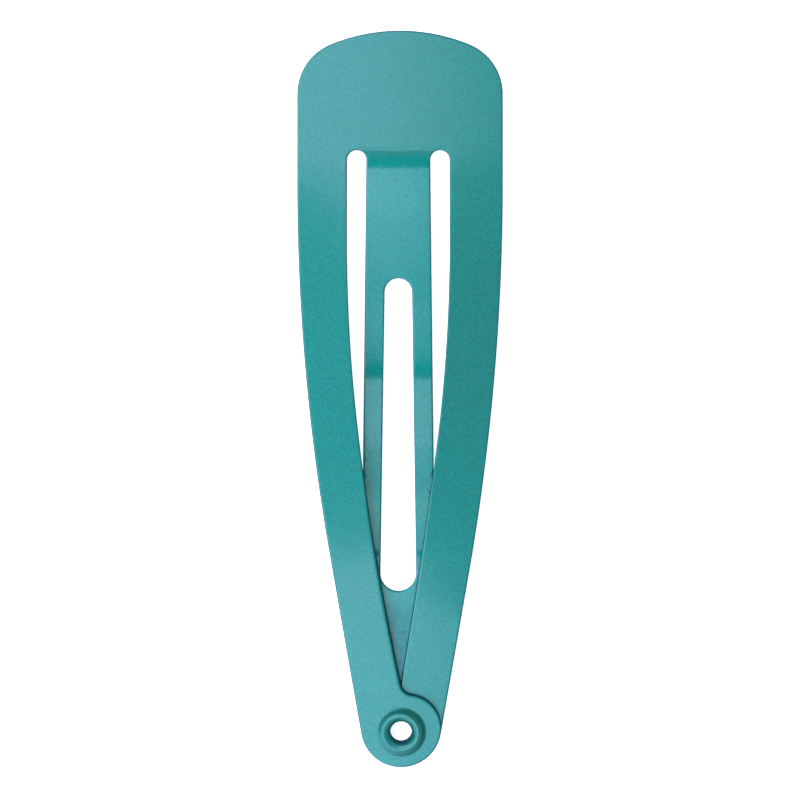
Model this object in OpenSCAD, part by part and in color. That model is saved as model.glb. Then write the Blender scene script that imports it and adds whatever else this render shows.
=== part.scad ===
// Snap hair clip: one blank of thin painted spring steel. Its two legs are drawn together and
// riveted at the tip, which bows the whole clip; the tongue between them presses from below.
// The clip lies on its back on Z = 0, front face up. +Y points to the wide head, the rivet is at -Y.
// Lengths are in millimetres and angles in degrees.

/* [Overall] */
// Length from the head's end to the riveted tip
clip_len = 50; // [47:0.5:53]
// Width across the head's shoulders
clip_w = 13.94; // [13.6:0.02:14.6]
// Thickness of the painted sheet
sheet_t = 0.45; // [0.38:0.01:0.52]

/* [Bow] */
// Radius of the bow along the clip
bow_r = 150; // [140:5:200]
// Crown of the bow, measured from mid-length
crown_y = -1.66; // [-3:0.02:0]
// Flat part of the head, from its end
head_flat = 7.5; // [5:0.5:8]
// Flat part of the riveted tip, from its end
tip_flat = 4.5; // [4.2:0.1:5]

/* [Head] */
// Radius of the head's end
head_r = 12.4; // [11.5:0.1:16]
// Radius of the head's two corners
corner_r = 3.65; // [2.8:0.05:4]

/* [Legs] */
// Start of the curved sides, from the head's end
side_start = 10.3; // [9:0.1:12]
// Angle by which the curved sides turn in towards the tip
side_turn = 9.93; // [9.5:0.01:10.4]
// Start of the legs' curved inner edges, from the head's end
inner_start = 14; // [12:0.5:15]
// Radius of the inner edges' upper part
inner_r = 115; // [105:1:130]
// Length of the inner edges' upper part
inner_len = 15.6; // [14:0.2:17]
// Radius of the left leg's inner edge, lower part
left_lower_r = 200; // [180:5:260]
// Radius of the right leg's inner edge, lower part
right_lower_r = 450; // [350:10:600]

/* [Slots] */
// Top of the side slots, from the head's end
slot_top = 8.13; // [7.8:0.01:8.8]
// Width of a side slot
slot_w = 1.32; // [1.2:0.02:1.5]
// Width of the neck between the side slots
neck_w = 4.33; // [4.1:0.01:4.6]
// Offset of the tongue and slots to the right
neck_shift = -0.115; // [-0.2:0.005:0.2]

/* [Riveted tabs] */
// Radius of the tabs' round end
tab_r = 2.74; // [2.6:0.02:2.9]
// Offset of the riveted tabs to the right
tab_shift = 0.07; // [-0.2:0.01:0.2]
// Radius of a tab's nose, which lies over or under the other leg
nose_r = 2.28; // [2.1:0.02:2.4]
// Direction of the nose below level
nose_drop = 10; // [5:1:15]
// Radius of the hollow between a tab's nose and its leg
fillet_r = 0.9; // [0.7:0.05:1.2]
// Gap between the two stacked tabs
tab_gap = 0.04; // [0.03:0.01:0.08]
// Start of the legs' rise and fall to the stacked tabs, from the head's end
stack_start = 9.5; // [9:0.5:13]
// End of it, from the tip
stack_end = 21; // [15:0.5:23]

/* [Tongue] */
// Bend line of the tongue's root, below the slots' tops
root_below = 0.44; // [0.36:0.01:0.52]
// Clearance between the tongue's round root and its seat
root_gap = 0.05; // [0.04:0.01:0.08]
// Height of the belly's lowest point above the surface
belly_clear = 0.08; // [0.06:0.01:0.2]
// Start of the belly's curve, from the head's end
belly_start = 19; // [17:0.5:21]
// Crease at the bottom of the belly, from the head's end
belly_crease = 23.6; // [22.6:0.1:24.6]
// Slope after the belly's crease
rise_slope = 0.09; // [0.08:0.005:0.1]
// Second crease, from the head's end
rise_crease = 28.2; // [27:0.1:29.4]
// Slope after the second crease
tail_slope = 0.06; // [0.05:0.005:0.07]
// Gap between the tongue and the right leg's underside
rest_gap = 0.06; // [0.05:0.01:0.1]
// Greatest width of the tongue
tongue_w = 4.79; // [4.6:0.01:4.9]
// Start of the full width, from the head's end
wide_start = 29; // [26:0.5:31]
// Start of the taper to the tongue's end, from the clip's tip
taper_start = 13; // [12:0.5:14]
// Radius of the tongue's round end
end_r = 1.6; // [1.4:0.05:1.8]
// Tongue's end, from the clip's tip
tongue_end = 4.7; // [4.6:0.1:5.5]
// Top of the tongue's slot, from the head's end
window_top = 16.82; // [16:0.1:18]
// Bottom of the tongue's slot, from the clip's tip
window_end = 11.97; // [11.5:0.1:13]
// Radius at the top of the tongue's slot
window_top_r = 0.93; // [0.8:0.01:1.05]
// Radius at the bottom of the tongue's slot
window_end_r = 1.21; // [1.1:0.01:1.3]

/* [Eyelet] */
// Centre of the eyelet, from the clip's tip
eyelet_back = 2.5; // [2.4:0.02:2.7]
// Radius of the through hole
bore_r = 0.73; // [0.6:0.01:0.76]
// Wall of the barrel
barrel_wall = 0.25; // [0.2:0.01:0.28]
// Clearance round the barrel and under the flanges
barrel_gap = 0.03; // [0.02:0.005:0.04]
// Outer radius of the front flange
flange_r = 1.7; // [1.5:0.05:1.9]
// Height of the front flange's crest
flange_h = 0.4; // [0.3:0.02:0.45]
// Outer radius of the back flange
back_r = 1.6; // [1.4:0.05:1.7]
// Height of the back flange's crest
back_h = 0.28; // [0.2:0.02:0.34]
// Depth of the funnels where the bore opens into the flanges
funnel_depth = 0.1; // [0.06:0.01:0.14]
// Crest of a flange, in from the middle between barrel and rim
crest_in = 0.14; // [0.06:0.01:0.18]

/* [Hidden] */
$fn = 64;
paint = [0.32, 0.66, 0.67];
paint_dark = [0.24, 0.6, 0.6];
// Cutters and strips reach this far past the outline
past = 1;
// Length of one flat of a curved strip
flat_len = 1.6;
// Small step that slopes are measured over
step = 0.01;
left = -1;
right = 1;

head_y = clip_len / 2;
tip_y = -clip_len / 2;
half_w = clip_w / 2;
head_flat_y = head_y - head_flat;
tip_flat_y = tip_y + tip_flat;
head_tilt = asin((head_flat_y - crown_y) / bow_r);
tip_tilt = asin((crown_y - tip_flat_y) / bow_r);

// Fall of the sheet's underside below the crown
function arc_fall(y) = bow_r - sqrt(pow(bow_r, 2) - pow(y - crown_y, 2));
function fall(y) = y > head_flat_y ? arc_fall(head_flat_y) + tan(head_tilt) * (y - head_flat_y)
    : y < tip_flat_y ? arc_fall(tip_flat_y) + tan(tip_tilt) * (tip_flat_y - y)
    : arc_fall(y);

// The left leg rises and the right one falls, until one tab lies on the other
stack_half = (sheet_t + tab_gap) / cos(tip_tilt) / 2;
stack_top_y = head_y - stack_start;
stack_low_y = tip_y + stack_end;
function ease(f) = f <= 0 ? 0 : f >= 1 ? 1 : f * f * (3 - 2 * f);
function stack(y) = stack_half * ease((stack_top_y - y) / (stack_top_y - stack_low_y));

// The clip touches down with the head's end or with the eyelet's back flange
eyelet_y = tip_y + eyelet_back;
back_edge_y = eyelet_y - back_r * cos(tip_tilt) - back_h * sin(tip_tilt);
crown_z = max(fall(head_y), fall(back_edge_y) + stack_half + back_h * cos(tip_tilt));
function under(y, side) = crown_z - fall(y) - side * stack(y);

// Points at even steps, without the last one
function run(a, b) = let (n = ceil(abs(b - a) / flat_len)) [for (i = [0:n - 1]) a + (b - a) * i / n];
function arc(c, r, a0, a1, n) = [for (i = [0:n]) c + r * [cos(a0 + (a1 - a0) * i / n),
    sin(a0 + (a1 - a0) * i / n)]];
function arc_on(c, r, a0, a1, n) = [for (i = [1:n]) c + r * [cos(a0 + (a1 - a0) * i / n),
    sin(a0 + (a1 - a0) * i / n)]];
function angle(v) = atan2(v[1], v[0]);
function unit(v) = v / norm(v);
function normal(slope) = unit([-slope, 1]);
function reversed(p) = [for (i = [len(p) - 1:-1:0]) p[i]];

// Side view of a leg's strip: underside, then top face at the sheet's thickness
leg_stations = concat([tip_y - past], run(tip_flat_y, head_flat_y), [head_flat_y, head_y + past]);
function leg_slope(y, side) = (under(y + step, side) - under(y - step, side)) / (2 * step);
function leg_strip(side) = let (low = [for (y = leg_stations) [y, under(y, side)]],
    high = [for (y = leg_stations) [y, under(y, side)] + sheet_t * normal(leg_slope(y, side))])
    concat(low, reversed(high));

// Plan of one half, drawn on the right: head, side, tab, nose, hollow, inner edge and slot
head_c = [0, head_y - head_r];
corner_x = half_w - corner_r;
corner_c = [corner_x, head_c[1] + sqrt(pow(head_r - corner_r, 2) - pow(corner_x, 2))];
corner_a = angle(corner_c - head_c);
function tab_c(side) = [side * tab_shift, tip_y + tab_r];
side_y = head_y - side_start;
// The curved side ends where it is in line with the straight run down to the tab
function side_r(side) = (tab_r + sin(side_turn) * (side_y - tab_c(side)[1])
    + cos(side_turn) * (tab_c(side)[0] - half_w)) / (1 - cos(side_turn));
function side_c(side) = [half_w - side_r(side), side_y];
nose_a = nose_drop - 180;
function nose_c(side) = tab_c(side) + (tab_r - nose_r) * [cos(nose_a), sin(nose_a)];

function neck_x(side) = neck_w / 2 + side * neck_shift;
slot_r = slot_w / 2;
slot_y = head_y - slot_top - slot_r;
root_y = head_y - slot_top - root_below;
slot_a = 180 - asin((root_y - slot_y) / slot_r);

inner_a = -asin(inner_len / inner_r);
function upper_c(side) = [neck_x(side) + slot_w - inner_r, head_y - inner_start];
function lower_r(side) = side == left ? left_lower_r : right_lower_r;
function lower_c(side) = upper_c(side) + (inner_r - lower_r(side)) * [cos(inner_a), sin(inner_a)];

// Point at given distances from two others, on the left of the line from a to b
function meet(a, ra, b, rb) = let (l = norm(b - a), k = (ra * ra - rb * rb + l * l) / (2 * l),
    u = (b - a) / l) a + k * u + sqrt(ra * ra - k * k) * [-u[1], u[0]];
function hollow_c(side) = meet(lower_c(side), lower_r(side) - fillet_r,
    nose_c(side), nose_r + fillet_r);

function half_plan(side) = let (n = nose_c(side), h = hollow_c(side), up = angle(h - lower_c(side)))
    concat(arc(head_c, head_r, 90, corner_a, 6),
        arc_on(corner_c, corner_r, corner_a, 0, 8),
        arc(side_c(side), side_r(side), 0, -side_turn, 10),
        arc_on(tab_c(side), tab_r, -side_turn, nose_a, 20),
        arc_on(n, nose_r, nose_a, angle(h - n) - 360, 10),
        arc_on(h, fillet_r, angle(n - h), up, 5),
        arc_on(lower_c(side), lower_r(side), up, inner_a, 5),
        arc_on(upper_c(side), inner_r, inner_a, 0, 7),
        arc([neck_x(side) + slot_r, slot_y], slot_r, 0, slot_a, 10),
        [[0, root_y]]);

// Middle of the tongue's thickness, seen from the side, from its root to its end
root_mid = [root_y, under(root_y, right)] + sheet_t / 2 * normal(leg_slope(root_y, right));
belly_y = head_y - belly_start;
crease_y = head_y - belly_crease;
rise_y = head_y - rise_crease;
curve_len = belly_y - crease_y;
belly_z = belly_clear + sheet_t / 2;
root_slope = (root_mid[1] - belly_z) / (root_y - belly_y + curve_len / 2);
rise_z = belly_z + rise_slope * (crease_y - rise_y);
function free_z(y) = y > belly_y ? root_mid[1] - root_slope * (root_mid[0] - y)
    : y > crease_y ? belly_z + root_slope * pow(y - crease_y, 2) / (2 * curve_len)
    : y > rise_y ? belly_z + rise_slope * (crease_y - y)
    : rise_z + tail_slope * (rise_y - y);
function tongue_z(y) = min(free_z(y), under(y, right) - rest_gap - sheet_t / 2);
tongue_y = tip_y + tongue_end;
tongue_stations = concat(run(belly_y, crease_y), run(crease_y, rise_y),
    run(rise_y, tongue_y - past), [tongue_y - past]);
tongue_mid = concat([root_mid], [for (y = tongue_stations) [y, tongue_z(y)]]);
function mid_slope(i) = let (a = tongue_mid[max(i - 1, 0)],
    b = tongue_mid[min(i + 1, len(tongue_mid) - 1)]) (b[1] - a[1]) / (b[0] - a[0]);
function tongue_face(sign) = [for (i = [0:len(tongue_mid) - 1])
    tongue_mid[i] + sign * sheet_t / 2 * normal(mid_slope(i))];
root_a = angle(normal(mid_slope(0)));
tongue_strip = concat(reversed(tongue_face(1)),
    arc_on(root_mid, sheet_t / 2, root_a, root_a - 180, 12),
    [for (i = [1:len(tongue_mid) - 1]) tongue_face(-1)[i]]);

// Plan of the tongue, right half first
wide_y = head_y - wide_start;
taper_y = tip_y + taper_start;
round_c = [0, tongue_y + end_r];
taper_d = round_c - [tongue_w / 2, taper_y];
taper_a = angle(taper_d) + 90 - asin(end_r / norm(taper_d));
tongue_half = concat([[neck_w / 2, root_y + past], [neck_w / 2, root_y], [tongue_w / 2, wide_y],
    [tongue_w / 2, taper_y]], arc(round_c, end_r, taper_a, -90, 9));
tongue_plan = concat(tongue_half, [for (i = [len(tongue_half) - 2:-1:0])
    [-tongue_half[i][0], tongue_half[i][1]]]);

// The tongue's slot widens towards the tip
window_top_c = [0, head_y - window_top - window_top_r];
window_end_c = [0, tip_y + window_end + window_end_r];
window_a = asin((window_end_r - window_top_r) / (window_top_c[1] - window_end_c[1]));
window_plan = concat(arc(window_top_c, window_top_r, -window_a, 180 + window_a, 14),
    arc(window_end_c, window_end_r, 180 + window_a, 360 - window_a, 16));

// Eyelet in section: heights are measured from the right tab's underside
barrel_r = bore_r + barrel_wall;
tabs_h = 2 * sheet_t + tab_gap;
crest_r = (barrel_r + flange_r) / 2 - crest_in;
back_crest_r = (barrel_r + back_r) / 2 - crest_in;
// Quarter of an ellipse from the bore out to a crest, and from a crest out to a rim
function flare(r0, r1, h0, h1, n) = [for (i = [0:n]) [r0 + (r1 - r0) * (1 - cos(90 * i / n)),
    h0 + (h1 - h0) * sin(90 * i / n)]];
function rim(r0, r1, h0, h1, n) = [for (i = [1:n]) [r0 + (r1 - r0) * sin(90 * i / n),
    h1 + (h0 - h1) * cos(90 * i / n)]];
front_low = tabs_h + barrel_gap;
back_low = -barrel_gap;
eyelet_section = concat(
    flare(bore_r, crest_r, tabs_h - funnel_depth, tabs_h + flange_h, 6),
    rim(crest_r, flange_r, tabs_h + flange_h, front_low, 7),
    [[barrel_r, front_low], [barrel_r, back_low]],
    reversed(rim(back_crest_r, back_r, -back_h, back_low, 6)),
    reversed(flare(bore_r, back_crest_r, funnel_depth, -back_h, 6)));

module strip(side_view) {
    translate([-clip_w, 0, 0])
        rotate([90, 0, 90])
            linear_extrude(2 * clip_w)
                polygon(side_view);
}

module column(plan) {
    translate([0, 0, -past])
        linear_extrude(crown_z + sheet_t + 2 * past)
            polygon(plan);
}

// Moves a shape from the eyelet's own axis to the tilted tabs
module at_eyelet() {
    translate([tab_shift, eyelet_y, under(eyelet_y, right)])
        rotate([tip_tilt, 0, 0])
            children();
}

module half(side) {
    intersection() {
        strip(leg_strip(side));
        scale([side, 1, 1])
            column(half_plan(side));
    }
}

// Pressed head and two legs; the left tab lies over the right one
module frame() {
    color(paint)
        difference() {
            union() {
                half(left);
                half(right);
            }
            translate([neck_shift, root_mid[0], root_mid[1]])
                rotate([0, 90, 0])
                    cylinder(h = neck_w + slot_w, r = sheet_t / 2 + root_gap, center = true);
            at_eyelet()
                translate([0, 0, -past])
                    cylinder(h = tabs_h + 2 * past, r = barrel_r + barrel_gap);
        }
}

// Slotted tongue, creased so that its belly hangs below the legs
module tongue() {
    color(paint)
        intersection() {
            strip(tongue_strip);
            translate([neck_shift, 0, 0])
                difference() {
                    column(tongue_plan);
                    translate([0, 0, -past])
                        column(window_plan);
                }
        }
}

// Tubular rivet with a rolled flange on each side
module eyelet() {
    color(paint_dark)
        at_eyelet()
            rotate_extrude()
                polygon(eyelet_section);
}

frame();
tongue();
eyelet();
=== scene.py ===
import math
import bmesh
import bpy
import numpy as np
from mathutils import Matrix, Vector
from mathutils.geometry import delaunay_2d_cdt


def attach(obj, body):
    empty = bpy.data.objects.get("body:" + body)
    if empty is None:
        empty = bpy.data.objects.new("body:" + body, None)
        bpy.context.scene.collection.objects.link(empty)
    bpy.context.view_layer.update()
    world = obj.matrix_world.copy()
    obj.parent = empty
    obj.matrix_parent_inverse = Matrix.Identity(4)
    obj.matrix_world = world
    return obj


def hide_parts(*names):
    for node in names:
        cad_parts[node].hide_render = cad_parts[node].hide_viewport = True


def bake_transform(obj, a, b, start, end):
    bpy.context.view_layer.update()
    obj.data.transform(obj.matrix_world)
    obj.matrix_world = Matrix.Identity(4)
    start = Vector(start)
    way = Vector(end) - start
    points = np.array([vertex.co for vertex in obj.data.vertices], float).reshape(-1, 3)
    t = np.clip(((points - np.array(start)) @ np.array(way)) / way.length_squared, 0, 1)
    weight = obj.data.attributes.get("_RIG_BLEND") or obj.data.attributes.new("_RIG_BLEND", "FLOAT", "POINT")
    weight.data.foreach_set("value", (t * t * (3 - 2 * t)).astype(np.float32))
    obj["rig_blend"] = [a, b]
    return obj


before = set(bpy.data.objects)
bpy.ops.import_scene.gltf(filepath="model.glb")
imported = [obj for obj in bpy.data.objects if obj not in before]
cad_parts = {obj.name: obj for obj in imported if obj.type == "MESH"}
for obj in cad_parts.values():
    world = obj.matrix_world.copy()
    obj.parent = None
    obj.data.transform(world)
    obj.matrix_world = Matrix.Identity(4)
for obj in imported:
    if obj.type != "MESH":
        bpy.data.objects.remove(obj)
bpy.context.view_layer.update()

# Camera. A long lens looks straight down on the clip, so its outline shows almost without
# perspective. The wide head is at the top of the picture and the rivet at the bottom.
scene = bpy.context.scene
scene.view_settings.view_transform = "Standard"
LENS_HEIGHT = 0.9
FIELD = 0.05426
FOCUS_PLANE = 0.0015
PICTURE_MIDDLE_Y = -0.0000814
SENSOR = 36
camera = bpy.data.objects.new("camera", bpy.data.cameras.new("camera"))
camera.data.sensor_width = SENSOR
camera.data.lens = SENSOR * LENS_HEIGHT / FIELD
camera.data.clip_start = 0.01
camera.data.clip_end = 10
camera.location = (0, PICTURE_MIDDLE_Y, FOCUS_PLANE + LENS_HEIGHT)
scene.collection.objects.link(camera)
scene.camera = camera


# Pressed body: the wide head and the two legs, one stamping of 0.45 mm spring steel. The legs are
# sprung together at the tip, the left tab over the right one, which bows the clip; the cut edges
# are slightly rounded by the die and by the coats of teal metal-fleck enamel.

# The clip's sizes are in millimetres, and MM turns them into metres.
MM = 0.001
SHEET = 0.45
HEAD_END = 25.0
TIP_END = -25.0
BOW = 150.0
CROWN = -1.66
CROWN_HEIGHT = 2.193
HEAD_STRAIGHT = 17.5
TIP_STRAIGHT = -20.5
STACK_TOP = 15.5
STACK_LOW = -4.0
TAB_GAP = 0.04
LEFT = -1
RIGHT = 1


def bow_fall(y):
    """Fall of the sheet below the crown of its bow, which is straight past both ends of its arc."""
    arc_y = np.clip(y, TIP_STRAIGHT, HEAD_STRAIGHT) - CROWN
    fall = BOW - np.sqrt(BOW ** 2 - arc_y ** 2)
    slope = arc_y / np.sqrt(BOW ** 2 - arc_y ** 2)
    return fall + slope * (y - CROWN - arc_y)


def ease(part):
    """0 to 1 with a soft start and end."""
    part = np.clip(part, 0, 1)
    return part * part * (3 - 2 * part)


tip_tilt = math.asin((CROWN - TIP_STRAIGHT) / BOW)
half_stack = (SHEET + TAB_GAP) / math.cos(tip_tilt) / 2


def leg_underside(y, side):
    """Height of a leg's underside; the left leg rises and the right one sinks to the lapped tabs."""
    stacked = half_stack * ease((STACK_TOP - y) / (STACK_TOP - STACK_LOW))
    return CROWN_HEIGHT - bow_fall(y) - side * stacked


EDGE_STEP = 0.25
FINE_STEP = 0.1
MOST_TURN = 0.13


def arc(centre, radius, start, end, outward=1, step=EDGE_STEP):
    """Points along an arc, and for each the direction into the sheet."""
    turn = math.radians(end - start)
    count = max(3, math.ceil(abs(turn) * radius / min(step, MOST_TURN * radius)))
    angles = math.radians(start) + turn * np.arange(count + 1) / count
    ray = np.stack([np.cos(angles), np.sin(angles)], 1)
    return np.array(centre) + radius * ray, -outward * ray


def line(start, end, step=EDGE_STEP):
    """Points along a straight edge that has the sheet on its right, and the direction into it."""
    start = np.array(start, float)
    run = np.array(end, float) - start
    long = np.hypot(*run)
    count = math.ceil(long / step)
    points = start + run * np.arange(count + 1)[:, None] / count
    inward = np.array([run[1], -run[0]]) / long
    return points, np.tile(inward, (count + 1, 1))


def joined(*parts):
    """Arcs and lines end to end, without the points they share."""
    points = np.concatenate([p[0][:-1] for p in parts] + [parts[-1][0][-1:]])
    inward = np.concatenate([p[1][:-1] for p in parts] + [parts[-1][1][-1:]])
    return points, inward


def meeting(a, reach_a, b, reach_b):
    """Where two circles cross, on the left of the way from a to b."""
    apart = b - a
    far = np.hypot(*apart)
    along = (reach_a ** 2 - reach_b ** 2 + far ** 2) / (2 * far)
    unit = apart / far
    return a + along * unit + math.sqrt(reach_a ** 2 - along ** 2) * np.array([-unit[1], unit[0]])


def bearing(v):
    """Direction of a vector, in degrees from +X."""
    return math.degrees(math.atan2(v[1], v[0]))


HALF_WIDTH = 6.97
HEAD_R = 12.4
CORNER_R = 3.65
SIDE_TURN = 9.93
TAB_R = 2.74
TAB_SHIFT = 0.07
NOSE_R = 2.28
NOSE_BEARING = -170
HOLLOW_R = 0.9
SIDE_START_Y = 14.7
NECK = 4.33
NECK_SHIFT = -0.115
SLOT_R = 0.66
SLOT_Y = 16.21
ROOT_Y = 16.43
UPPER_R = 115.0
UPPER_LEN = 15.6
UPPER_START_Y = 11.0
LOWER_R = {LEFT: 200.0, RIGHT: 450.0}

head_centre = np.array([0, HEAD_END - HEAD_R])
corner_x = HALF_WIDTH - CORNER_R
corner_rise = math.sqrt((HEAD_R - CORNER_R) ** 2 - corner_x ** 2)
corner_centre = np.array([corner_x, head_centre[1] + corner_rise])
upper_bearing = -math.degrees(math.asin(UPPER_LEN / UPPER_R))
slot_end = 180 - math.degrees(math.asin((ROOT_Y - SLOT_Y) / SLOT_R))


def neck_side(side):
    """Distance from the middle to the neck's side, where a slot begins."""
    return NECK / 2 + side * NECK_SHIFT


def inner_centres(side):
    """Centres of the two arcs of a leg's inner edge."""
    upper = np.array([neck_side(side) + 2 * SLOT_R - UPPER_R, UPPER_START_Y])
    away = math.radians(upper_bearing)
    lower = upper + (UPPER_R - LOWER_R[side]) * np.array([math.cos(away), math.sin(away)])
    return upper, lower


# The inner edges of both legs, down to their noses, get a wider rounding, the top leg's most. This widens
# the dark thin-enamel band there: painted shade where these edges shade the parts beneath them.
SHADE_WIDENING = {LEFT: 2.3, RIGHT: 1.5}


def widened(edge, start, end):
    """The edge with its rounding drawn out, from start to end times as far in."""
    points, inward = edge
    return points, inward * np.linspace(start, end, len(points))[:, None]


def half_outline(side):
    """One half as if on the right: head, shoulder, side, tab, nose, hollow, inner edge and slot."""
    upper, lower = inner_centres(side)
    tab = np.array([side * TAB_SHIFT, TIP_END + TAB_R])
    turn = math.radians(SIDE_TURN)
    side_r = TAB_R + math.sin(turn) * (SIDE_START_Y - tab[1]) + math.cos(turn) * (tab[0] - HALF_WIDTH)
    side_r = side_r / (1 - math.cos(turn))
    nose_ray = math.radians(NOSE_BEARING)
    nose = tab + (TAB_R - NOSE_R) * np.array([math.cos(nose_ray), math.sin(nose_ray)])
    hollow = meeting(lower, LOWER_R[side] - HOLLOW_R, nose, NOSE_R + HOLLOW_R)
    shoulder = bearing(corner_centre - head_centre)
    widening_start = bearing(hollow - lower)
    # The full widening takes three quarters of the lower arc, and fades out over the rest.
    widening_end = (3 * upper_bearing + widening_start) / 4
    widening = SHADE_WIDENING[side]
    curved_side = arc((HALF_WIDTH - side_r, SIDE_START_Y), side_r, 0, -SIDE_TURN)
    slot_x = neck_side(side) + 2 * SLOT_R
    tab_end = arc(tab, TAB_R, -SIDE_TURN, NOSE_BEARING)
    points, inward = joined(
        arc(head_centre, HEAD_R, 90, shoulder),
        arc(corner_centre, CORNER_R, shoulder, 0),
        line((HALF_WIDTH, corner_centre[1]), (HALF_WIDTH, SIDE_START_Y)),
        curved_side,
        line(curved_side[0][-1], tab_end[0][0]),
        tab_end,
        widened(arc(nose, NOSE_R, NOSE_BEARING, bearing(hollow - nose) - 360), 1, widening),
        widened(arc(hollow, HOLLOW_R, bearing(nose - hollow), widening_start, -1), widening, widening),
        widened(arc(lower, LOWER_R[side], widening_start, widening_end, -1), widening, widening),
        widened(arc(lower, LOWER_R[side], widening_end, upper_bearing, -1), widening, 1),
        arc(upper, UPPER_R, upper_bearing, 0, -1),
        line((slot_x, upper[1]), (slot_x, SLOT_Y)),
        arc((slot_x - SLOT_R, SLOT_Y), SLOT_R, 0, slot_end, -1),
    )
    # The rims end along the root line, where the tongue carries on.
    inward[-1] = (-1, 0)
    return points * (side, 1), inward * (side, 1)


# The blank is slightly crowned across, and drawing the legs together twists them a little, so that
# their outer edges droop most at mid-length.
CROSS_CROWN = 300.0
TWIST = 0.037
TWIST_Y = 2.3
TWIST_REACH = 18.0


def inner_edge(y, side):
    """Distance from the middle to a leg's inner edge."""
    upper, lower = inner_centres(side)
    on_upper = upper[0] + np.sqrt(UPPER_R ** 2 - np.minimum(y - upper[1], 0) ** 2)
    on_lower = lower[0] + np.sqrt(np.maximum(LOWER_R[side] ** 2 - (y - lower[1]) ** 2, 0))
    return np.where(y > upper[1] - UPPER_LEN, on_upper, on_lower)


def droop(x, y, side):
    """How far the crown across and the twist lower the sheet."""
    out = np.maximum(side * x - inner_edge(y, side), 0)
    part = np.clip((y - TWIST_Y) / TWIST_REACH, -1, 1)
    return TWIST * (1 + np.cos(math.pi * part)) / 2 * out + x * x / (2 * CROSS_CROWN)


# The root bend is pressed across the neck, half of it in the body and half in the tongue: slopes at
# points down it.
head_slope = -(ROOT_Y - CROWN) / BOW
BEND_TOP = 17.05
bend_at = [(BEND_TOP, head_slope), (16.92, -0.066), (15.77, 0.045), (15.67, 0.09)]
into_bend = np.linspace(0, 1, 200)


def summed(rates, along):
    """What the rates add up to from the first place along a line to each of them."""
    return np.concatenate([[0], np.cumsum((rates[1:] + rates[:-1]) / 2 * np.diff(along))])


# How far the face drops below the head's plane, at distances into the bend.
bend_depths = [BEND_TOP - y for y, slope in bend_at]
past_plane = np.interp(into_bend, bend_depths, [slope - head_slope for y, slope in bend_at])
bend_drop = summed(past_plane, into_bend)

# The neck drops down to its root; the legs beside it don't.
NECK_END = ROOT_Y - 0.1


def body_faces(side):
    """Heights of one half's underside and face over points of its plan."""
    def faces(x, y):
        low = leg_underside(y, side) - droop(x, y, side)
        on_neck = ease((neck_side(side) + 2 * SLOT_R - side * x) / (2 * SLOT_R))
        into = np.where(y > NECK_END, np.maximum(BEND_TOP - y, 0), 0)
        low = low - on_neck * np.interp(into, into_bend, bend_drop)
        tilt = (np.clip(y, TIP_STRAIGHT, HEAD_STRAIGHT) - CROWN) / BOW
        return low, low + SHEET / np.sqrt(1 - tilt ** 2)
    return faces


# The cut edges are rounded over a little more on the face than on the back.
TOP_ROUND = 0.08
LOW_ROUND = 0.07
TOP_RIM = 0.04
LOW_RIM = 0.05

# The faces are filled with rows of points, which are closer where the sheet is bent across.
GRID = 0.3
ROW_STEP = 0.866 * GRID
BENT_STEP = 0.28 * GRID
EDGE_CLEAR = 0.55 * GRID
BENT = [(-11.0, -9.4), (1.2, 3.5), (15.4, 17.4)]
MERGE = 1e-7
KEEP_INSIDE = 1
TINY = 1e-15


def edge_rings():
    """Steps round a cut edge: how far in, how far down from the face, on which face, how far out."""
    top, low = [
        [(round_r * (1 - math.sin(a)), round_r * (1 - math.cos(a)), on_top, math.sin(a))
         for a in np.radians([0, 22.5, 45, 67.5, 90])]
        for round_r, on_top in ((TOP_ROUND, 1), (LOW_ROUND, 0))
    ]
    return [(TOP_ROUND + TOP_RIM, 0, 1, 0)] + top + low[::-1] + [(LOW_ROUND + LOW_RIM, 0, 0, 0)]


def inside(points, loops):
    """Which points lie within the loops, by the crossings of a ray, and how near an edge is."""
    crossings = np.zeros(len(points), int)
    near = np.full(len(points), np.inf)
    for loop in loops:
        for a, b in zip(loop, np.roll(loop, -1, 0)):
            spans = (a[1] > points[:, 1]) != (b[1] > points[:, 1])
            if spans.any():
                at = a[0] + (points[:, 1] - a[1]) * (b[0] - a[0]) / (b[1] - a[1] + TINY)
                crossings += spans & (points[:, 0] < at)
            along = np.clip(((points - a) @ (b - a)) / max((b - a) @ (b - a), TINY), 0, 1)
            near = np.minimum(near, np.hypot(*(points - a - along[:, None] * (b - a)).T))
    return crossings % 2 == 1, near


def rows_between(low, high):
    """Where the rows of points lie: three times as close where the sheet is bent."""
    rows = [low]
    while rows[-1] < high:
        bent = any(start < rows[-1] < end for start, end in BENT)
        rows.append(rows[-1] + (BENT_STEP if bent else ROW_STEP))
    return rows


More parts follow.
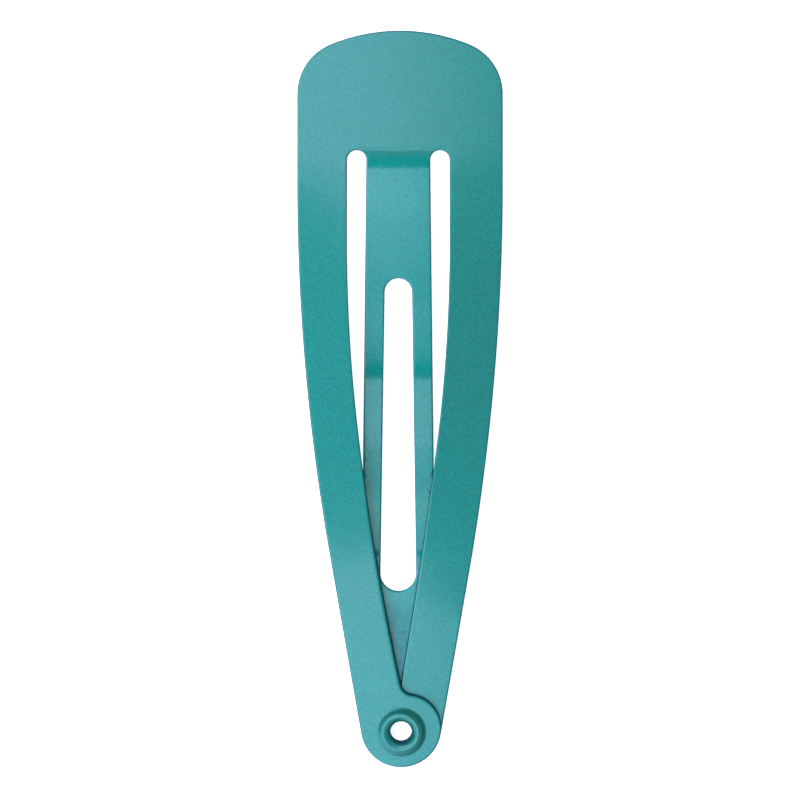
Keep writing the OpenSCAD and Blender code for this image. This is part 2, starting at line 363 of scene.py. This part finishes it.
def press_sheet(mesh, faces, edges, cut, capped):
    """Adds a pressed sheet with rounded cut edges to a mesh. The first edge is open and the points of
    cut close it; the others are the loops of holes. As many points of cut as capped says carry an
    end wall, from its first point on."""
    layer = mesh.verts.layers.float.get("thin_enamel_and_shade") or mesh.verts.layers.float.new("thin_enamel_and_shade")
    rings = edge_rings()

    def vert(x, y, z, out):
        v = mesh.verts.new((x * MM, y * MM, z * MM))
        v[layer] = out
        return v

    def column(points, inward, ring):
        depth_in, down, on_top, out = ring
        at = points + depth_in * inward
        low, top = faces(at[:, 0], at[:, 1])
        z = top - down if on_top else low + down
        return at, [vert(*p, h, out) for p, h in zip(at, z)]

    walls = [[column(points, inward, ring) for ring in rings] for points, inward in edges]
    for wall_index, wall in enumerate(walls):
        count = len(edges[wall_index][0])
        last = count - 1 if wall_index == 0 else count
        for upper, lower in zip(wall, wall[1:]):
            for i in range(last):
                j = (i + 1) % count
                mesh.faces.new((upper[1][i], upper[1][j], lower[1][j], lower[1][i]))
    cut_verts = []
    for end, level in ((0, 1), (-1, 0)):
        heights = faces(cut[:, 0], cut[:, 1])[level]
        cut_verts.append([vert(*p, h, 0) for p, h in zip(cut, heights)])
        loops = [np.concatenate([walls[0][end][0], cut])] + [w[end][0] for w in walls[1:]]
        verts = walls[0][end][1] + cut_verts[-1]
        for w in walls[1:]:
            verts = verts + w[end][1]
        low_corner = loops[0].min(0)
        high_corner = loops[0].max(0)
        rows = rows_between(low_corner[1], high_corner[1])
        columns = np.arange(low_corner[0] - GRID, high_corner[0] + GRID, GRID)
        lattice = np.array([(x + GRID / 2 * (i % 2), y) for i, y in enumerate(rows) for x in columns])
        is_in, near = inside(lattice, loops)
        lattice = lattice[is_in & (near > EDGE_CLEAR)]
        heights = faces(lattice[:, 0], lattice[:, 1])[level]
        verts = verts + [vert(*p, h, 0) for p, h in zip(lattice, heights)]
        plan = np.concatenate(loops + [lattice])
        outlines = []
        start = 0
        for loop in loops:
            x, y = loop.T
            leftwards = np.sum(x * np.roll(y, -1) - y * np.roll(x, -1)) > 0
            outlines.append(list(range(start, start + len(loop)))[::1 if leftwards else -1])
            start += len(loop)
        found = delaunay_2d_cdt([Vector(p) for p in plan], [], outlines, KEEP_INSIDE, MERGE)
        triangles, origins, outline_ids = found[2], found[3], found[5]
        # A triangle within the first outline alone is sheet; within another too, it fills a hole.
        for triangle, within in zip(triangles, outline_ids):
            if within == [0]:
                mesh.faces.new([verts[origins[i][0]] for i in triangle])
    end_wall = [ring[1][-1] for ring in walls[0]] + cut_verts[1][:capped]
    if capped == len(cut):
        end_wall += [ring[1][0] for ring in walls[0]][::-1]
    mesh.faces.new(end_wall + cut_verts[0][:capped][::-1])


WELD = 1e-8
SHARP = math.radians(35)


def finished_piece(name, mesh):
    """A smooth-shaded object from a welded mesh, its sharp edges kept."""
    bmesh.ops.remove_doubles(mesh, verts=mesh.verts, dist=WELD)
    bmesh.ops.recalc_face_normals(mesh, faces=mesh.faces)
    for face in mesh.faces:
        face.smooth = True
    for edge in mesh.edges:
        edge.smooth = len(edge.link_faces) == 2 and edge.calc_face_angle() < SHARP
    data = bpy.data.meshes.new(name)
    mesh.to_mesh(data)
    mesh.free()
    piece = bpy.data.objects.new(name, data)
    scene.collection.objects.link(piece)
    return piece


RIVET_HOLE_R = 1.05
RIVET_HOLE_Y = {LEFT: -22.586, RIGHT: -22.528}
# The halves join along the middle of the head, and at the root the body joins the tongue: points
# along both lines, which stop short of the rounded edges.
CUT_INSET = 0.5
HEAD_INSET = 0.4
ACROSS_POINTS = 8
UP_POINTS = 30

pressing = bmesh.new()
for side in (LEFT, RIGHT):
    hole = arc((TAB_SHIFT, RIVET_HOLE_Y[side]), RIVET_HOLE_R, 0, 360, -1)
    hole = hole[0][:-1], hole[1][:-1]
    corner = neck_side(side) + SLOT_R * (1 - math.cos(math.radians(180 - slot_end)))
    across = [(side * x, ROOT_Y) for x in np.linspace(corner - CUT_INSET, 0, ACROSS_POINTS)]
    up = [(0, y) for y in np.linspace(ROOT_Y, HEAD_END - HEAD_INSET, UP_POINTS)[1:]]
    edges = [half_outline(side), hole]
    press_sheet(pressing, body_faces(side), edges, np.array(across + up), len(across))
body = finished_piece("pressed_body", pressing)


def new_group(name, inputs, outputs):
    """A shader node group of number sockets, with the inputs' usual values."""
    group = bpy.data.node_groups.new(name, "ShaderNodeTree")
    for label, value in inputs.items():
        socket = group.interface.new_socket(name=label, in_out="INPUT", socket_type="NodeSocketFloat")
        socket.default_value = value
    for label in outputs:
        group.interface.new_socket(name=label, in_out="OUTPUT", socket_type="NodeSocketFloat")
    return group, group.nodes.new("NodeGroupInput"), group.nodes.new("NodeGroupOutput")


def add(tree, kind, *links, **settings):
    """A node with its settings made, and its inputs linked or set by (input, value or output)."""
    node = tree.nodes.new(kind)
    for setting, value in settings.items():
        setattr(node, setting, value)
    for key, value in links:
        if isinstance(value, bpy.types.NodeSocket):
            tree.links.new(value, node.inputs[key])
        else:
            node.inputs[key].default_value = value
    return node


def maths(tree, operation, *values):
    """What a Math node makes of these values or outputs."""
    return add(tree, "ShaderNodeMath", *enumerate(values), operation=operation).outputs[0]


# The groups take sizes in millimetres. Noise and cell colours lie about their middle value.
MM_PER_METRE = 1000.0
MIDDLE_VALUE = 0.5

# Metal fleck: aluminium flakes a tenth of a millimetre across, each catching the light its own way.
fleck_group, given, given_out = new_group("metal fleck", {"Fleck Size": 0.1, "Glint": 0.1}, ["Shade"])
place = add(fleck_group, "ShaderNodeTexCoord")
cells = maths(fleck_group, "DIVIDE", MM_PER_METRE, given.outputs["Fleck Size"])
flakes = add(fleck_group, "ShaderNodeTexVoronoi", ("Vector", place.outputs["Object"]), ("Scale", cells))
flake_tone = add(fleck_group, "ShaderNodeSeparateColor", ("Color", flakes.outputs["Color"]))
centred = maths(fleck_group, "SUBTRACT", flake_tone.outputs[0], MIDDLE_VALUE)
shade = maths(fleck_group, "MULTIPLY_ADD", centred, given.outputs["Glint"], 1.0)
fleck_group.links.new(shade, given_out.inputs["Shade"])

# Enamel flow: sprayed enamel lies a little thicker here and thinner there.
flow_group, given, given_out = new_group(
    "enamel flow", {"Patch Size": 3.0, "Depth": 0.1}, ["Shade", "Height"]
)
place = add(flow_group, "ShaderNodeTexCoord")
patches = maths(flow_group, "DIVIDE", MM_PER_METRE, given.outputs["Patch Size"])
flow = add(
    flow_group, "ShaderNodeTexNoise",
    ("Vector", place.outputs["Object"]), ("Scale", patches), ("Detail", 3.0),
)
centred = maths(flow_group, "SUBTRACT", flow.outputs[0], MIDDLE_VALUE)
shade = maths(flow_group, "MULTIPLY_ADD", centred, given.outputs["Depth"], 1.0)
flow_group.links.new(shade, given_out.inputs["Shade"])
flow_group.links.new(flow.outputs[0], given_out.inputs["Height"])

# Thin edge and shade: a mask for the dark tint. On the cut edges it is partly the enamel drawn back a little
# unevenly and partly painted shade for the dark outline of the rounded edges; on the tongue's end and in the
# rivet's bore it is painted shade.
thin_and_shade_group, given, given_out = new_group("thin edge and shade", {"Edge": 0.0, "Raggedness": 0.3}, ["Mask"])
place = add(thin_and_shade_group, "ShaderNodeTexCoord")
ragged = add(
    thin_and_shade_group, "ShaderNodeTexNoise",
    ("Vector", place.outputs["Object"]), ("Scale", 3500.0), ("Detail", 4.0),
)
centred = maths(thin_and_shade_group, "SUBTRACT", ragged.outputs[0], MIDDLE_VALUE)
moved = maths(thin_and_shade_group, "MULTIPLY_ADD", centred, given.outputs["Raggedness"], given.outputs["Edge"])
mask = add(
    thin_and_shade_group, "ShaderNodeMapRange",
    ("Value", moved), ("From Min", 0.3), ("From Max", 0.8),
    interpolation_type="SMOOTHSTEP",
)
thin_and_shade_group.links.new(mask.outputs[0], given_out.inputs["Mask"])

FLECK_SIZE = 0.09
# The dark tint: thin enamel on the cut edges, and painted shade.
THIN_AND_SHADED_TINT = (0.008, 0.05, 0.06)


def enamel(name, tint, glint, roughness):
    """Teal metal-fleck enamel under a clear coat, dark and without coat where the mask says: thin enamel and
    painted shade on the cut edges, painted shade on hidden parts.
    """
    material = bpy.data.materials.new(name)
    material.use_nodes = True
    tree = material.node_tree
    shader = tree.nodes["Principled BSDF"]
    shader.inputs["Metallic"].default_value = 0.45
    shader.inputs["IOR"].default_value = 1.5
    shader.inputs["Specular IOR Level"].default_value = 0.5
    shader.inputs["Specular Tint"].default_value = (0.1, 0.45, 1.0, 1)
    shader.inputs["Coat Roughness"].default_value = 0.1
    shader.inputs["Coat IOR"].default_value = 1.5
    fleck = add(tree, "ShaderNodeGroup", node_tree=fleck_group)
    fleck.inputs["Fleck Size"].default_value = FLECK_SIZE
    fleck.inputs["Glint"].default_value = glint
    flow = add(tree, "ShaderNodeGroup", node_tree=flow_group)
    flow.inputs["Patch Size"].default_value = 4.0
    flow.inputs["Depth"].default_value = 0.08
    edge = add(tree, "ShaderNodeAttribute", attribute_name="thin_enamel_and_shade")
    thin_and_shade = add(tree, "ShaderNodeGroup", node_tree=thin_and_shade_group)
    tree.links.new(edge.outputs["Fac"], thin_and_shade.inputs["Edge"])
    both = maths(tree, "MULTIPLY", fleck.outputs["Shade"], flow.outputs["Shade"])
    shaded = add(tree, "ShaderNodeVectorMath", (0, tint), ("Scale", both), operation="SCALE")
    colour = add(
        tree, "ShaderNodeMix",
        ("Factor", thin_and_shade.outputs["Mask"]), (6, shaded.outputs[0]), (7, (*THIN_AND_SHADED_TINT, 1)),
        data_type="RGBA",
    )
    coat = maths(tree, "SUBTRACT", 1.0, thin_and_shade.outputs["Mask"])
    gloss = maths(tree, "MULTIPLY", flow.outputs["Shade"], roughness)
    bump = add(
        tree, "ShaderNodeBump",
        ("Height", flow.outputs["Height"]), ("Strength", 0.1), ("Distance", 0.00001),
    )
    tree.links.new(colour.outputs[2], shader.inputs["Base Color"])
    tree.links.new(gloss, shader.inputs["Roughness"])
    tree.links.new(coat, shader.inputs["Coat Weight"])
    tree.links.new(bump.outputs[0], shader.inputs["Normal"])
    return material


body.data.materials.append(enamel("teal_enamel_body", (0.0025, 0.198, 0.14), 0.35, 0.36))
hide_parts("frame")
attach(body, "frame")


# Tongue: the slotted strip left between the legs by the same stamping. It is pressed down at its
# root and creased twice, so that its belly hangs under the legs and its end lies below the tabs.
REST_GAP = 0.05
WIDE = 4.79
WIDE_Y = -4.0
TAPER_Y = -12.0
TONGUE_END = -20.3
END_R = 1.6
WINDOW_TOP_Y = 7.25
WINDOW_TOP_R = 0.93
WINDOW_END_Y = -11.82
WINDOW_END_R = 1.21

# Slope of the tongue, seen from the side, at points along it: it falls towards the belly's crease at
# Y = 1.5, then climbs, a little less steeply past the second crease at Y = -3.
STRIP_END = -21.0
STATIONS = 3000
slope_at = bend_at + [
    (14.4, 0.097), (12.1, 0.0805), (10.0, 0.0755), (7.3, 0.068), (5.7, 0.0705), (4.0, 0.065),
    (3.3, 0.062), (2.6, 0.048), (2.0, 0.01), (1.7, -0.025), (1.45, -0.035), (1.4, -0.09),
    (0.8, -0.0905), (-0.8, -0.1015), (-2.1, -0.106), (-3.0, -0.105), (-3.3, -0.0895),
    (-5.9, -0.089), (-7.0, -0.0965), (STRIP_END, -0.098),
]
stations = np.linspace(BEND_TOP, STRIP_END, STATIONS)
slopes = np.interp(-stations, [-y for y, slope in slope_at], [slope for y, slope in slope_at])
climb = summed(slopes, stations)
root_faces = body_faces(RIGHT)(np.array([0.0]), np.array([ROOT_Y]))
middle = climb - np.interp(-ROOT_Y, -stations, climb) + (root_faces[0][0] + root_faces[1][0]) / 2

# Where it would rise into the right leg it bends over and follows the leg's underside.
REST_BEND = 0.03
ceiling = leg_underside(stations, RIGHT) - REST_GAP - SHEET / 2
near = np.maximum(1 - np.abs(ceiling - middle) / REST_BEND, 0)
resting = np.minimum(middle, ceiling) - REST_BEND * near ** 2 / 4
middle = np.where(stations < 0, resting, middle)
slopes = np.gradient(middle, stations)


def tongue_faces(x, y):
    """Heights of the tongue's underside and face over points of its plan."""
    half = SHEET / 2 * np.sqrt(1 + np.interp(-y, -stations, slopes) ** 2)
    mid = np.interp(-y, -stations, middle) - x * x / (2 * CROSS_CROWN)
    return mid - half, mid + half


ROOT_STEP = 0.05
END_STEP = 0.15


def tongue_side(side):
    """Right side of the tongue from the root down to the tip's middle, or the left one mirrored."""
    shift = side * NECK_SHIFT
    round_centre = np.array([shift, TONGUE_END + END_R])
    wide = WIDE / 2 + shift
    reach = round_centre - (wide, TAPER_Y)
    taper = bearing(reach) + 90 - math.degrees(math.asin(END_R / np.hypot(*reach)))
    touch_ray = math.radians(taper)
    touch = round_centre + END_R * np.array([math.cos(touch_ray), math.sin(touch_ray)])
    root = arc((neck_side(side) + SLOT_R, SLOT_Y), SLOT_R, slot_end, 180, -1, ROOT_STEP)
    points, inward = joined(
        root,
        line((neck_side(side), SLOT_Y), (wide, WIDE_Y), FINE_STEP),
        line((wide, WIDE_Y), (wide, TAPER_Y)),
        line((wide, TAPER_Y), touch),
        arc(round_centre, END_R, taper, -90, 1, END_STEP),
    )
    # Beside the root its rims start along the root line, as the body's end there.
    inward[:len(root[0])] = (-1, 0)
    return points * (side, 1), inward * (side, 1)


right_points, right_inward = tongue_side(RIGHT)
left_points, left_inward = tongue_side(LEFT)
tongue_points = np.concatenate([right_points, left_points[-2::-1]])
tongue_inward = np.concatenate([right_inward, left_inward[-2::-1]])

# The window's sides are straight and touch its two round ends.
spread = math.degrees(math.asin((WINDOW_END_R - WINDOW_TOP_R) / (WINDOW_TOP_Y - WINDOW_END_Y)))
window_top = arc((NECK_SHIFT, WINDOW_TOP_Y), WINDOW_TOP_R, -spread, 180 + spread, -1)
window_low = arc((NECK_SHIFT, WINDOW_END_Y), WINDOW_END_R, 180 + spread, 360 - spread, -1)


def window_side(above, below):
    """A side of the window between the ends of two arcs, with the first arc's direction throughout."""
    points = line(above[0][-1], below[0][0], FINE_STEP)[0]
    return points, np.tile(above[1][-1], (len(points), 1))


window = joined(
    window_top, window_side(window_top, window_low),
    window_low, window_side(window_low, window_top),
)
window = window[0][:-1], window[1][:-1]

ROOT_POINTS = 14
strip = bmesh.new()
root_from = left_points[0][0] + CUT_INSET
root_to = right_points[0][0] - CUT_INSET
root_line = np.array([(x, ROOT_Y) for x in np.linspace(root_from, root_to, ROOT_POINTS)])
press_sheet(strip, tongue_faces, [(tongue_points, tongue_inward), window], root_line, len(root_line))

# The tongue's end lies between and under the legs, and is painted darker there and without coat: painted
# shade.
SHADED_END_Y = -11.0
SHADED_END_REACH = 4
SHADED_END_DARKNESS = 0.45
thin_and_shade_at = strip.verts.layers.float["thin_enamel_and_shade"]
for vert in strip.verts:
    shaded_end = SHADED_END_DARKNESS * ease((SHADED_END_Y - vert.co.y / MM) / SHADED_END_REACH)
    vert[thin_and_shade_at] = max(vert[thin_and_shade_at], shaded_end)

# Each snap drags the legs' edges over its arms, which leaves a row of small ticks in the enamel.
TICKED_Y = {LEFT: (-5.6, -2.6), RIGHT: (-6.9, -4.8)}
TICK_LENGTH = 0.4
TICK_DEPTH = 0.7
ticks = np.random.default_rng(5)
for vert in strip.verts:
    x, y, z = vert.co / MM
    from_low, up_to = TICKED_Y[LEFT if x < 0 else RIGHT]
    near_side = WIDE / 2 - abs(x - NECK_SHIFT) < TICK_LENGTH
    if near_side and from_low < y < up_to and z > np.interp(-y, -stations, middle):
        vert[thin_and_shade_at] = max(vert[thin_and_shade_at], ticks.uniform(0, TICK_DEPTH))
tongue = finished_piece("tongue_strip", strip)
# The tongue's tint is lighter than the body's: painted light making up for the shade that the legs cast on
# it.
tongue.data.materials.append(enamel("teal_enamel_tongue", (0.0028, 0.22, 0.158), 0.35, 0.36))
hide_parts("tongue")
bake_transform(tongue, "frame", "tongue", start=(0, 0.01643, 0.0013), end=(0, 0.0156, 0.0013))


# Eyelet: a tube of thin steel pushed up through both tabs and rolled over on each side, enamelled
# with the clip. Its front flange is a raised ring, higher on one side; its back one is flatter.
EYELET_Y = -22.5
BORE_R = 0.73
BARREL_R = 0.98
FLANGE_R = 1.7
FLANGE_H = 0.36
CREST_R = 1.2
BACK_R = 1.6
BACK_H = 0.28
BACK_CREST_R = 1.15
STACKED = 2 * SHEET + TAB_GAP
CLEAR = 0.005
FUNNEL = 0.1
LEAN = 0.05
UNEVEN = 0.4
HIGH_SIDE = math.radians(20)
RISE_POINTS = 15
FALL_POINTS = 19


def lip(crest_r, rim_r, crest_h, bore_h, foot_h):
    """Section of a rolled lip: up from the bore in a quarter ellipse, then out and down to the tab,
    where the enamel fills its corner."""
    section = []
    for a in np.linspace(0, math.pi / 2, RISE_POINTS):
        r = BORE_R + (crest_r - BORE_R) * (1 - math.cos(a))
        section.append((r, bore_h + (crest_h - bore_h) * math.sin(a)))
    for a in np.linspace(0, math.pi, FALL_POINTS)[1:]:
        r = crest_r + (rim_r - crest_r) * a / math.pi
        section.append((r, foot_h + (crest_h - foot_h) * (1 + math.cos(a)) / 2))
    return section


section = lip(CREST_R, FLANGE_R, STACKED + FLANGE_H, STACKED - FUNNEL, STACKED + CLEAR)
section += [(BARREL_R, STACKED + CLEAR), (BARREL_R, -CLEAR)]
section += lip(BACK_CREST_R, BACK_R, -BACK_H, FUNNEL, -CLEAR)[::-1]

AROUND = 96
BORE_WALL = 0.02
tilt_cos = math.cos(tip_tilt)
tilt_sin = math.sin(tip_tilt)
tilt = np.array([[1, 0, 0], [0, tilt_cos, -tilt_sin], [0, tilt_sin, tilt_cos]])
foot = np.array([TAB_SHIFT, EYELET_Y, leg_underside(EYELET_Y, RIGHT)])
rivet = bmesh.new()
bore_shade = rivet.verts.layers.float.new("thin_enamel_and_shade")
turned = []
for r, h in section:
    ring = []
    for i in range(AROUND):
        a = 2 * math.pi * i / AROUND
        over = max(h - STACKED - CLEAR, 0) * UNEVEN * math.cos(a - HIGH_SIDE)
        back = 0 if r == BARREL_R else LEAN * max(STACKED - FUNNEL - h, 0)
        at = tilt @ np.array([r * math.cos(a), r * math.sin(a) + back, h + over]) + foot
        ring.append(rivet.verts.new(at * MM))
        # The bore's wall is painted dark and loses its coat: painted shade down the hole.
        ring[-1][bore_shade] = 1.0 if r < BORE_R + BORE_WALL else 0
    turned.append(ring)
for inner, outer in zip(turned, turned[1:] + turned[:1]):
    for i in range(AROUND):
        j = (i + 1) % AROUND
        rivet.faces.new((inner[i], inner[j], outer[j], outer[i]))
eyelet = finished_piece("rolled_eyelet", rivet)
eyelet.data.materials.append(enamel("teal_enamel_eyelet", (0.0022, 0.175, 0.122), 0.3, 0.48))
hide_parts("eyelet")
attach(eyelet, "frame")


# Table: a sheet of white card under the clip. It glows for the camera alone, which keeps it white
# without lighting the clip from below. From here on, sizes are in metres.
CARD_HALF = 2
card_mesh = bpy.data.meshes.new("white_card")
card_corners = [(x * CARD_HALF, y * CARD_HALF, 0) for x, y in ((-1, -1), (1, -1), (1, 1), (-1, 1))]
card_mesh.from_pydata(card_corners, [], [(0, 1, 2, 3)])
card = bpy.data.objects.new("white_card", card_mesh)
scene.collection.objects.link(card)
card_look = bpy.data.materials.new("white_card")
card_look.use_nodes = True
card_tree = card_look.node_tree
card_shader = card_tree.nodes["Principled BSDF"]
card_shader.inputs["Base Color"].default_value = (0.93, 0.93, 0.93, 1)
card_shader.inputs["Roughness"].default_value = 0.9
card_shader.inputs["Specular IOR Level"].default_value = 0.1
card_shader.inputs["Emission Color"].default_value = (1, 1, 1, 1)
CARD_GLOW = 0.8
seen = add(card_tree, "ShaderNodeLightPath")
glow = maths(card_tree, "MULTIPLY", seen.outputs["Is Camera Ray"], CARD_GLOW)
card_tree.links.new(glow, card_shader.inputs["Emission Strength"])
card_mesh.materials.append(card_look)


# Lens: the black glass and barrel of the real camera, which the level parts of the clip reflect.
# It is a round black disc just above the camera, out of its view.
LENS_FRONT_R = 0.07
LENS_FRONT_HEIGHT = 1.0
lens_rim = [
    (LENS_FRONT_R * math.cos(a), LENS_FRONT_R * math.sin(a), LENS_FRONT_HEIGHT)
    for a in np.radians(np.arange(0, 360, 10))
]
lens_mesh = bpy.data.meshes.new("lens_front")
lens_mesh.from_pydata(lens_rim, [], [tuple(range(len(lens_rim)))])
lens = bpy.data.objects.new("lens_front", lens_mesh)
scene.collection.objects.link(lens)
lens_look = bpy.data.materials.new("lens_black")
lens_look.use_nodes = True
lens_shader = lens_look.node_tree.nodes["Principled BSDF"]
lens_shader.inputs["Base Color"].default_value = (0.01, 0.01, 0.01, 1)
lens_mesh.materials.append(lens_look)


# Lights: two broad softboxes, beyond the head and beyond the tip, with a dim gap between them
# overhead. Two small strips and a wider panel on the left hang in the gap, a dim ceiling closes it
# from above, and one more panel stands upright beyond the lower left.
BOX_HEIGHT = 1.2
CLOTH_TINT = (0.62, 0.76, 1.0)
TIP_TINT = (0.585, 0.73, 1.0)
WHITE = (1.0, 1.0, 1.0)
EVEN = (1, 2, 1)


def softbox(name, near_edge, size, turn, radiance, tint=CLOTH_TINT, fade=EVEN, slant=0.0,
            height=BOX_HEIGHT, lean=0):
    """A softbox at a height, placed by the middle of its near edge and turned about it; it hangs
    level unless it leans. Its cloth can fade: from and to a share of its width, and down to a share
    of the glow, along a slanting line."""
    light = bpy.data.lights.new(name, "AREA")
    light.shape = "RECTANGLE"
    light.size, light.size_y = size
    light.color = tint
    light.energy = radiance * math.pi * size[0] * size[1]
    light.use_nodes = True
    tree = light.node_tree
    cloth = add(tree, "ShaderNodeNewGeometry")
    place = add(tree, "ShaderNodeSeparateXYZ", ("Vector", cloth.outputs["Parametric"]))
    across = maths(tree, "MULTIPLY_ADD", place.outputs["Y"], slant, place.outputs["X"])
    glow = add(
        tree, "ShaderNodeMapRange",
        ("Value", across), ("From Min", fade[0]), ("From Max", fade[1]),
        ("To Min", 1.0), ("To Max", fade[2]), interpolation_type="SMOOTHSTEP",
    )
    tree.links.new(glow.outputs[0], tree.nodes["Emission"].inputs["Strength"])
    holder = bpy.data.objects.new(name, light)
    away = math.radians(turn)
    reach = size[1] / 2
    middle_x = near_edge[0] - reach * math.sin(away)
    middle_y = near_edge[1] + reach * math.cos(away)
    holder.location = (middle_x, middle_y, height)
    holder.rotation_euler = (math.radians(lean), 0, away)
    scene.collection.objects.link(holder)


softbox("head_softbox", (-0.12, 0.2853), (3.0, 1.3), 10.8, 3.1, fade=(0.53, 0.58, 0.12))
softbox("tip_softbox", (-0.12, -0.102), (3.0, 1.3), 140.3, 3.25, TIP_TINT, (0.45, 0.416, 0.33), 0.36)
softbox("head_strip", (-0.004, 0.204), (0.085, 0.072), 0, 3.6)
softbox("side_panel", (-1.6, -1.6), (2.0, 1.2), -45, 2.0, height=0.65, lean=90)
softbox("tip_strip", (-0.004, -0.1535), (0.052, 0.05), 180, 3.1)
softbox("left_panel", (-0.72, -0.1), (1.0, 0.36), 0, 2.2)
softbox("ceiling", (0, -0.4), (0.8, 1.0), 0, 0.26, WHITE, height=1.3)
world = bpy.data.worlds.new("studio")
world.use_nodes = True
background = world.node_tree.nodes["Background"]
background.inputs["Color"].default_value = (0.72, 0.86, 1, 1)
background.inputs["Strength"].default_value = 0.34
scene.world = world
